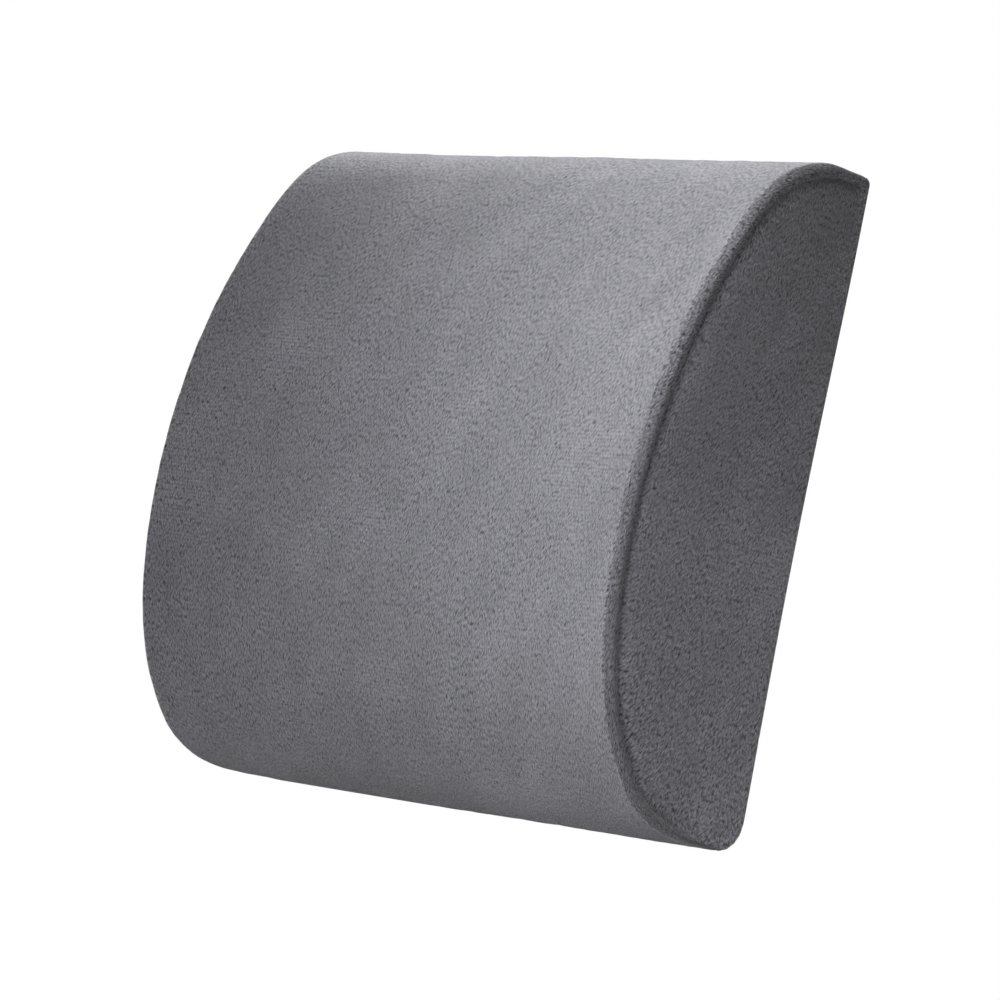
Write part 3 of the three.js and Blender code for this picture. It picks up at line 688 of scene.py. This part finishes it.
def tape(name, node):
    """Woven zip tape with a raised herringbone rib every few threads."""
    low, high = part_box(node)
    x = np.linspace(low.x, high.x, 360)
    z = np.linspace(low.z, high.z, 28)
    grid_x, grid_z = np.meshgrid(x, z)
    rib = 0.06 * MM * abs(np.sin(math.pi * (grid_z - low.z) / (1.35 * MM)))
    y = high.y - 0.08 * MM + rib + 0.02 * MM * np.sin(2 * math.pi * grid_x / (1.6 * MM) + grid_z / MM)
    points = np.stack([grid_x, y, grid_z], -1)
    outward = np.broadcast_to(np.array([0, 1, 0]), points.shape)
    obj = sheet(name, points, outward, (high.y - low.y) * 0.8)
    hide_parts(node)
    return obj


# ---- Stitches ----

STITCH_RADIUS = 0.3 * MM
STITCH_RINGS = 5
STITCH_SIDES = 6
ZIP_PITCH = 3.4 * MM  # length of a stitch beside the zip
STRAP_PITCH = 2.6 * MM
END_ROWS = (-158, -155, 155, 158)  # x of the rows across the webbing's ends, in millimetres


def stitches(name, runs):
    """Lock stitches along straight runs: each run is (start, end, stitch length)."""
    vertices, faces = [], []
    angle = np.linspace(0, 2 * math.pi, STITCH_SIDES, endpoint=False)
    for start, end, pitch in runs:
        start, end = np.array(start), np.array(end)
        length = np.linalg.norm(end - start)
        along = (end - start) / length
        up = np.array([0, 1, 0])
        side = np.cross(along, up)
        count = max(int(length / pitch), 1)
        for i in range(count):
            for share in np.linspace(0, 1, STITCH_RINGS):
                swell_here = math.sin(math.pi * (0.12 + 0.76 * share))
                centre = start + along * (i + 0.1 + 0.8 * share) * length / count
                centre = centre + up * STITCH_RADIUS * (swell_here * 1.1 - 0.75)
                round_ = np.cos(angle)[:, None] * side + np.sin(angle)[:, None] * up
                vertices.append(centre + round_ * STITCH_RADIUS * (0.45 + 0.55 * swell_here))
            faces += tube_faces(STITCH_RINGS, STITCH_SIDES, (len(vertices) - STITCH_RINGS) * STITCH_SIDES)
    return make_object(name, np.concatenate(vertices), faces)


def zip_topstitch():
    """A row of stitches through the cover on each side of the zip."""
    x = ZIP_HALF_LENGTH - 2 * MM
    offset = ZIP_HALF_OPENING + 3 * MM
    y = -0.35 * MM
    return stitches("zip_topstitch", [
        ((-x, y, ZIP_Z + s * offset), (x, y, ZIP_Z + s * offset), ZIP_PITCH) for s in (-1, 1)
    ])


def strap_stitching():
    """Rows that hold the webbing's ends, and the crossed box that closes its folded end."""
    half = STRAP_WIDTH / 2 - 3 * MM
    top, bottom = STRAP_Z + half, STRAP_Z - half
    y = STRAP_LOW_Y + STRAP_THICK / 2 + 0.05 * MM
    runs = []
    for x in END_ROWS:
        runs.append(((x * MM, y, bottom), (x * MM, y, top), STRAP_PITCH))
    y += STRAP_THICK + 0.3 * MM
    left, right = FOLD[1][0] + 3 * MM, FOLD[2][0] - 3 * MM
    corners = [(left, bottom), (right, bottom), (right, top), (left, top)]
    for (x0, z0), (x1, z1) in zip(corners, corners[1:] + corners[:1]):
        runs.append(((x0, y, z0), (x1, y, z1), STRAP_PITCH))
    runs.append(((left, y, bottom), (right, y, top), STRAP_PITCH))
    runs.append(((left, y, top), (right, y, bottom), STRAP_PITCH))
    return stitches("strap_stitching", runs)


# ---- Webbing ----

RIB = 2.0 * MM
PICK = 1.7 * MM
WEB_STEP = 0.8 * MM
WEB_COLUMNS = 61


def seam_run(side):
    """Centre line from beside the end seam to the flat of the back."""
    drops = np.array([STRAP_START, 7 * MM, 9 * MM])
    past = np.maximum(EDGE_ALONG - drops, 0) / EDGE_ALONG
    y = BACK_SHARE * EDGE_ACROSS * (np.sqrt(1 - past**2) - 1) + STRAP_LOW_Y
    return list(zip(side * (WIDTH / 2 - drops), y))


def turn(x, side):
    """Half turn round a bar, from the low layer up to the high one."""
    radius = (STRAP_HIGH_Y - STRAP_LOW_Y) / 2
    angle = np.linspace(-math.pi / 2, math.pi / 2, 13)
    return list(zip(x + side * radius * np.cos(angle), STRAP_LOW_Y + radius * (1 + np.sin(angle))))


def webbing(name, node, centre):
    """Ribbed webbing of even thickness about a centre line in (x, y)."""
    centre = np.array(centre)
    run = np.concatenate([[0], np.cumsum(np.linalg.norm(np.diff(centre, axis=0), axis=1))])
    place = np.linspace(0, run[-1], int(run[-1] / WEB_STEP))
    x, y = np.interp(place, run, centre[:, 0]), np.interp(place, run, centre[:, 1])
    along = np.stack([np.gradient(x), np.gradient(y)], 1)
    along /= np.linalg.norm(along, axis=1, keepdims=True)
    across = np.linspace(-STRAP_WIDTH / 2, STRAP_WIDTH / 2, WEB_COLUMNS)
    half = STRAP_THICK / 2 * np.clip((1 - (2 * abs(across) / STRAP_WIDTH) ** 24), 0.2, 1)
    parity = np.floor(across / RIB) % 2
    rib = abs(np.sin(math.pi * across / RIB))
    pick = abs(np.sin(math.pi * (place[:, None] / PICK + parity / 2)))
    depth = half - (1 - rib * (0.55 + 0.45 * pick)) * 0.16 * MM
    z = np.broadcast_to(STRAP_Z + across, depth.shape)
    layers = []
    for s in (1, -1):
        layer_x = x[:, None] - s * along[:, 1:] * depth
        layer_y = y[:, None] + s * along[:, :1] * depth
        layers.append(np.stack([layer_x, layer_y, z], -1))
    loops = np.concatenate([layers[0], layers[1][:, ::-1]], 1)
    obj = make_object(name, loops, tube_faces(*loops.shape[:2]))
    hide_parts(node)
    return obj


# ---- Materials ----

class Material:
    """A principled material with short names for building its nodes."""

    def __init__(self, slot):
        self.slot = slot
        self.data = bpy.data.materials.new(slot)
        self.data.use_nodes = True
        self.tree = self.data.node_tree
        self.shader = self.tree.nodes["Principled BSDF"]

    def set(self, socket, value):
        if isinstance(value, bpy.types.NodeSocket):
            self.tree.links.new(value, socket)
        else:
            socket.default_value = value

    def add(self, kind, inputs, **settings):
        node = self.tree.nodes.new(kind)
        for key, value in settings.items():
            setattr(node, key, value)
        for key, value in inputs.items():
            self.set(node.inputs[key], value)
        return node

    def coordinates(self, layer):
        """The layer's coordinates in millimetres, or the object's own if layer is None."""
        if layer:
            vector = self.add("ShaderNodeUVMap", {}, uv_map=layer).outputs[0]
        else:
            vector = self.add("ShaderNodeTexCoord", {}).outputs["Object"]
        return self.scaled(vector, (1 / MM, 1 / MM, 1 / MM))

    def scaled(self, vector, scale):
        return self.add("ShaderNodeMapping", {"Vector": vector, "Scale": scale}).outputs[0]

    def noise(self, vector, size, detail=2.0, roughness=0.5):
        """Noise whose grains are size = (across, along) in the vector's units."""
        scale = (1 / size[0], 1 / size[1], 1 / size[-1])
        inputs = {"Vector": self.scaled(vector, scale), "Scale": 1.0}
        inputs.update({"Detail": detail, "Roughness": roughness})
        return self.add("ShaderNodeTexNoise", inputs).outputs["Fac"]

    def warped(self, vector, size, amount):
        """The vector pushed about by noise of a size, by about amount."""
        scale = (1 / size[0], 1 / size[1], 1)
        inputs = {"Vector": self.scaled(vector, scale), "Scale": 1.0, "Detail": 0.0}
        noise = self.add("ShaderNodeTexNoise", inputs)
        node = self.add("ShaderNodeVectorMath", {}, operation="MULTIPLY_ADD")
        self.set(node.inputs[0], noise.outputs["Color"])
        node.inputs[1].default_value = (2 * amount, 2 * amount, 0)
        self.set(node.inputs[2], vector)
        return node.outputs[0]

    def cells(self, vector, size):
        """Rounded tufts of a size, 1 at their tops and near 0 in the gaps between them."""
        scale = (1 / size[0], 1 / size[1], 1)
        inputs = {"Vector": self.scaled(vector, scale), "Scale": 1.0, "Randomness": 1.0}
        distance = self.add("ShaderNodeTexVoronoi", inputs, voronoi_dimensions="2D").outputs["Distance"]
        return self.remap(distance, 0.0, 0.95, 1.0, 0.0)

    def wave(self, vector, pitch, direction, distortion=0.5):
        inputs = {"Vector": vector, "Scale": math.pi / (10 * pitch), "Distortion": distortion}
        return self.add("ShaderNodeTexWave", inputs, bands_direction=direction).outputs["Fac"]

    def math(self, operation, a, b):
        node = self.add("ShaderNodeMath", {}, operation=operation)
        self.set(node.inputs[0], a)
        self.set(node.inputs[1], b)
        return node.outputs[0]

    def product(self, first, *others):
        for other in others:
            first = self.math("MULTIPLY", first, other)
        return first

    def remap(self, value, low, high, to_low=0.0, to_high=1.0):
        inputs = {"Value": value, "From Min": low, "From Max": high, "To Min": to_low, "To Max": to_high}
        return self.add("ShaderNodeMapRange", inputs).outputs[0]

    def shaded(self, colour, *shades):
        """A colour made lighter and darker by the product of shades."""
        node = self.add("ShaderNodeVectorMath", {"Scale": self.product(*shades)}, operation="SCALE")
        node.inputs[0].default_value = colour
        return node.outputs[0]

    def bump(self, height, distance):
        inputs = {"Height": height, "Distance": distance, "Strength": 1.0}
        return self.add("ShaderNodeBump", inputs).outputs[0]

    def finish(self, **values):
        for key, value in values.items():
            self.set(self.shader.inputs[key.replace("_", " ")], value)
        return self

    def on(self, *objects):
        for obj in objects:
            obj.data.materials.clear()
            obj.data.materials.append(self.data)


PLUSH_GREY = (0.150, 0.149, 0.164)


def plush(painted_relief_shade):
    """Short brushed velour: tufts along the pile's lay over a faint knit, with painted shade in the gaps
    between the tufts and along the end seams.
    """
    m = Material("plush")
    lay = m.coordinates("lay")
    flat = m.coordinates("cloth")
    tufts = m.cells(m.warped(lay, (2.2, 3.0), 0.8), (1.1, 2.2))
    fuzz = m.noise(m.warped(lay, (2.0, 3.0), 0.4), (0.66, 1.9), detail=1.0, roughness=0.6)
    patches = m.noise(lay, (24, 50))
    blotches = m.noise(flat, (6, 9), detail=3.0)
    rows = m.wave(flat, 1.75, "Y", 1.0)
    knit_area = m.remap(m.noise(flat, (90, 70), detail=1.0), 0.5, 0.66)
    knit = m.product(rows, m.noise(flat, (1.4, 1.5), detail=0.0), knit_area)
    height = m.math("ADD", m.product(tufts, 0.28), m.product(fuzz, 0.72))
    height = m.math("ADD", height, m.product(knit, 0.14))
    matted = m.add("ShaderNodeAttribute", {}, attribute_name="matted").outputs["Fac"]
    colour = m.shaded(
        PLUSH_GREY,
        # painted shade of the pile's relief: lighter on the tufts' tops, darker in the gaps and knit rows,
        # over the yarn's own tone
        m.remap(height, 0.3, 0.7, 1.0 - painted_relief_shade, 1.0 + painted_relief_shade),
        m.remap(patches, 0.3, 0.7, 0.92, 1.08),
        m.remap(blotches, 0.3, 0.7, 0.95, 1.05),
        # painted shade along the end seams, down to 0.66 of the colour at a seam
        m.remap(matted, 0.0, 1.0, 1.0, 0.66),
    )
    return m.finish(
        Base_Color=colour,
        Roughness=0.95,
        Specular_IOR_Level=0.15,
        Sheen_Weight=0.3,
        Sheen_Roughness=0.45,
        Sheen_Tint=(0.86, 0.87, 0.92, 1),
        Normal=m.bump(height, 2.2 * MM),
    )


def memory_foam():
    m = Material("memory_foam")
    place = m.coordinates(None)
    pores = m.noise(place, (0.9, 0.9), detail=3.0)
    tone = m.noise(place, (30, 30))
    shades = m.remap(pores, 0.35, 0.6, 0.82, 1.05), m.remap(tone, 0.3, 0.7, 0.93, 1.05)
    colour = m.shaded((0.80, 0.74, 0.58), *shades)
    return m.finish(Base_Color=colour, Roughness=0.9, Normal=m.bump(pores, 0.5 * MM))


def jersey():
    m = Material("jersey")
    place = m.coordinates("cloth")
    ribs = m.wave(place, 0.9, "X", 0.4)
    yarn = m.noise(place, (0.6, 1.0))
    height = m.product(ribs, yarn)
    colour = m.shaded((0.78, 0.78, 0.77), m.remap(height, 0.0, 0.6, 0.75, 1.08))
    return m.finish(Base_Color=colour, Roughness=0.95, Normal=m.bump(height, 0.3 * MM))


def woven_tape():
    m = Material("zip_tape")
    place = m.coordinates(None)
    yarn = m.noise(place, (0.7, 0.35))
    rows = m.wave(place, 0.6, "X", 0.3)
    height = m.math("ADD", yarn, m.product(rows, 0.4))
    colour = m.shaded((0.085, 0.085, 0.093), m.remap(height, 0.3, 1.0, 0.65, 1.45))
    return m.finish(Base_Color=colour, Roughness=0.85, Sheen_Weight=0.2, Normal=m.bump(height, 0.15 * MM))


def nylon():
    m = Material("zip_coil")
    tone = m.noise(m.coordinates(None), (2.5, 1.0))
    colour = m.shaded((0.10, 0.10, 0.11), m.remap(tone, 0.3, 0.7, 0.85, 1.15))
    return m.finish(Base_Color=colour, Roughness=m.remap(tone, 0.3, 0.7, 0.3, 0.45))


def enamel():
    """Dark enamelled zinc, worn a little smoother in places."""
    m = Material("zip_metal")
    place = m.coordinates(None)
    wear = m.noise(place, (1.8, 1.8), detail=4.0)
    grain = m.noise(place, (0.3, 0.3))
    colour = m.shaded((0.10, 0.10, 0.108), m.remap(wear, 0.3, 0.7, 0.75, 1.3))
    roughness = m.remap(wear, 0.3, 0.7, 0.28, 0.5)
    return m.finish(Base_Color=colour, Metallic=0.7, Roughness=roughness, Normal=m.bump(grain, 0.03 * MM))


def strap_yarn():
    m = Material("webbing")
    place = m.coordinates(None)
    yarn = m.noise(place, (0.9, 0.45, 0.3), detail=2.0)
    tone = m.noise(place, (12, 12))
    shades = m.remap(yarn, 0.3, 0.7, 0.55, 1.6), m.remap(tone, 0.3, 0.7, 0.9, 1.1)
    colour = m.shaded((0.030, 0.030, 0.033), *shades)
    return m.finish(Base_Color=colour, Roughness=0.8, Sheen_Weight=0.15, Normal=m.bump(yarn, 0.2 * MM))


def moulded_plastic():
    """Spark-textured black acetal."""
    m = Material("buckle_plastic")
    place = m.coordinates(None)
    grain = m.noise(place, (0.35, 0.35), detail=2.0)
    tone = m.noise(place, (9, 9))
    colour = m.shaded((0.018, 0.018, 0.019), m.remap(tone, 0.3, 0.7, 0.85, 1.2))
    roughness = m.remap(tone, 0.3, 0.7, 0.38, 0.5)
    return m.finish(Base_Color=colour, Roughness=roughness, Normal=m.bump(grain, 0.05 * MM))


# ---- Hardware: frame nodes with softened edges ----

HARDWARE_EDGE = {
    "buckle_socket": 0.5, "buckle_plug": 0.5, "latch_arm_upper": 0.35, "latch_arm_lower": 0.35,
    "strap_adjuster": 0.4, "zipper_slider": 0.2, "zipper_pull_tab": 0.2,
    "zipper_end_stop": 0.3, "zipper_top_stop_upper": 0.3, "zipper_top_stop_lower": 0.3,
}


def soften(node, width):
    """Clean faces, rounded edges and even shading, as modifiers on a frame node."""
    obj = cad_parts[node]
    obj.data.polygons.foreach_set("use_smooth", [True] * len(obj.data.polygons))
    weld = obj.modifiers.new("weld", "WELD")
    weld.merge_threshold = 0.01 * MM
    planar = obj.modifiers.new("planar", "DECIMATE")
    planar.decimate_type = "DISSOLVE"
    planar.angle_limit = math.radians(1)
    bevel = obj.modifiers.new("bevel", "BEVEL")
    bevel.width = width * MM
    bevel.segments = 2
    bevel.limit_method = "ANGLE"
    bevel.angle_limit = math.radians(28)
    bevel.use_clamp_overlap = True
    shade = obj.modifiers.new("shade", "WEIGHTED_NORMAL")
    shade.keep_sharp = True
    return obj


# ---- Stage ----

def white_world(strength):
    """White to the camera, soft grey light to the object."""
    world = bpy.data.worlds.new("studio")
    bpy.context.scene.world = world
    world.use_nodes = True
    tree = world.node_tree
    soft = tree.nodes["Background"]
    soft.inputs[0].default_value = (1, 1, 1, 1)
    soft.inputs[1].default_value = strength
    seen = tree.nodes.new("ShaderNodeBackground")
    seen.inputs[0].default_value = (1, 1, 1, 1)
    path = tree.nodes.new("ShaderNodeLightPath")
    pick = tree.nodes.new("ShaderNodeMixShader")
    tree.links.new(path.outputs["Is Camera Ray"], pick.inputs[0])
    tree.links.new(soft.outputs[0], pick.inputs[1])
    tree.links.new(seen.outputs[0], pick.inputs[2])
    tree.links.new(pick.outputs[0], tree.nodes["World Output"].inputs[0])


FLOOR_SIZE = 3.0
FLOOR_FADE = (0.35, 1.1)  # distances over which the floor turns into the white backdrop


def floor():
    """Pale floor that melts into the backdrop; it is clear from below and lights nothing."""
    s = FLOOR_SIZE
    corners = [(-s, -s, FLOOR_Z), (s, -s, FLOOR_Z), (s, s, FLOOR_Z), (-s, s, FLOOR_Z)]
    obj = make_object("floor", corners, [[0, 1, 2, 3]])
    obj.visible_diffuse = False
    obj.visible_glossy = False
    obj.visible_shadow = False
    material = bpy.data.materials.new("floor")
    material.use_nodes = True
    tree = material.node_tree
    shader = tree.nodes["Principled BSDF"]
    shader.inputs["Base Color"].default_value = (0.9, 0.9, 0.9, 1)
    shader.inputs["Roughness"].default_value = 0.9
    white = tree.nodes.new("ShaderNodeEmission")
    clear = tree.nodes.new("ShaderNodeBsdfTransparent")
    place = tree.nodes.new("ShaderNodeNewGeometry")
    away = tree.nodes.new("ShaderNodeVectorMath")
    away.operation = "LENGTH"
    fade = tree.nodes.new("ShaderNodeMapRange")
    fade.interpolation_type = "SMOOTHSTEP"
    fade.inputs["From Min"].default_value, fade.inputs["From Max"].default_value = FLOOR_FADE
    near = tree.nodes.new("ShaderNodeMixShader")
    pick = tree.nodes.new("ShaderNodeMixShader")
    tree.links.new(place.outputs["Position"], away.inputs[0])
    tree.links.new(away.outputs["Value"], fade.inputs["Value"])
    tree.links.new(fade.outputs[0], near.inputs[0])
    tree.links.new(shader.outputs[0], near.inputs[1])
    tree.links.new(white.outputs[0], near.inputs[2])
    tree.links.new(place.outputs["Backfacing"], pick.inputs[0])
    tree.links.new(near.outputs[0], pick.inputs[1])
    tree.links.new(clear.outputs[0], pick.inputs[2])
    tree.links.new(pick.outputs[0], tree.nodes["Material Output"].inputs[0])
    obj.data.materials.append(material)


def direction(azimuth, elevation):
    """Unit vector towards a place: azimuth 0 is in front, 90 is off the +X end."""
    a, e = math.radians(azimuth), math.radians(elevation)
    return Vector((math.sin(a) * math.cos(e), -math.cos(a) * math.cos(e), math.sin(e)))


def area_light(name, location, size, power):
    light = bpy.data.lights.new(name, "AREA")
    light.shape = "DISK"
    light.size = size
    light.energy = power
    obj = bpy.data.objects.new(name, light)
    obj.location = location
    obj.rotation_euler = (Vector((0, -DEPTH / 2, 0)) - obj.location).to_track_quat("-Z", "Y").to_euler()
    bpy.context.scene.collection.objects.link(obj)


WORLD_LIGHT = 0.02
LIGHTS = (  # name, azimuth, elevation, distance, size, power
    ("key", -80, -35, 2.2, 1.2, 43),
    ("rim", -110, 40, 2.2, 1.2, 121),
    ("front", 0, 5, 2.2, 1.2, 10.8),
    ("fill_low", 32, -26, 0.46, 0.22, 0.58),
    ("fill_side", 110, -24, 0.49, 0.22, 0.55),
    ("fill_end", 90, -6, 0.45, 0.22, 0.21),
    ("fill_right", 27, 31, 0.39, 0.12, 0.76),
    ("fill_edge", 36, 16, 0.45, 0.22, 0.38),
    ("back_high", 180, 40, 2.0, 1.4, 20),
    ("back_left", -150, 10, 2.2, 1.4, 8),
)


def lights():
    """Big soft lights round the object, small weak ones for the end, and two for the back."""
    for name, azimuth, elevation, distance, size, power in LIGHTS:
        area_light(name, direction(azimuth, elevation) * distance, size, power)


CAMERA_AZIMUTH = 46.26
CAMERA_ELEVATION = -5.78
CAMERA_ROLL = 11.45
CAMERA_DISTANCE = 2.354
CAMERA_LENS = 175.9  # millimetres, on a 36 mm sensor
CAMERA_SHIFT = (-0.0575, -0.0090)


def camera():
    data = bpy.data.cameras.new("camera")
    data.lens = CAMERA_LENS
    data.sensor_width = 36
    data.shift_x, data.shift_y = CAMERA_SHIFT
    towards = direction(CAMERA_AZIMUTH, CAMERA_ELEVATION)
    right = (-towards).cross(Vector((0, 0, 1))).normalized()
    up = right.cross(-towards)
    roll = math.radians(CAMERA_ROLL)
    rolled_right = right * math.cos(roll) + up * math.sin(roll)
    rolled_up = up * math.cos(roll) - right * math.sin(roll)
    axes = Matrix((rolled_right, rolled_up, towards)).transposed().to_4x4()
    obj = bpy.data.objects.new("camera", data)
    obj.matrix_world = Matrix.Translation(towards * CAMERA_DISTANCE) @ axes
    bpy.context.scene.collection.objects.link(obj)
    bpy.context.scene.camera = obj


# ---- Assembly ----

def build_cushion():
    covers = [
        front_panel(),
        back_panel(),
        side_panel(1, "right_side_plush", "right_side_panel"),
        side_panel(-1, "left_side_plush", "left_side_panel"),
    ]
    foam = foam_block()
    liner = liner_sock()
    tapes = [tape("zip_tape_upper", "zipper_tape_upper"), tape("zip_tape_lower", "zipper_tape_lower")]
    coils = [coil(1, "zip_coil_upper", "zipper_coil_upper"), coil(-1, "zip_coil_lower", "zipper_coil_lower")]
    tail = [(TAIL_END_X, STRAP_HIGH_Y)]
    straps = [
        webbing("strap_left_webbing", "strap_left", seam_run(-1) + turn(PLUG_BAR_X, 1) + tail),
        webbing("strap_right_webbing", "strap_right", seam_run(1) + turn(SOCKET_BAR_X, -1) + list(FOLD)),
    ]
    zip_thread, strap_thread = zip_topstitch(), strap_stitching()
    for piece in [*covers, foam, liner, *tapes, *coils, *straps, zip_thread, strap_thread]:
        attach(piece, "cushion")
    hardware = {node: soften(node, width) for node, width in HARDWARE_EDGE.items()}
    plush(0.92).on(*covers[:2])
    plush(0.78).on(*covers[2:])
    memory_foam().on(foam)
    jersey().on(liner)
    woven_tape().on(*tapes, zip_thread)
    nylon().on(*coils)
    strap_yarn().on(*straps, strap_thread)
    enamel().on(*[obj for node, obj in hardware.items() if node.startswith("zipper")])
    moulded_plastic().on(*[obj for node, obj in hardware.items() if not node.startswith("zipper")])


build_cushion()
white_world(WORLD_LIGHT)
floor()
lights()
camera()
bpy.context.scene.view_settings.view_transform = "Standard"
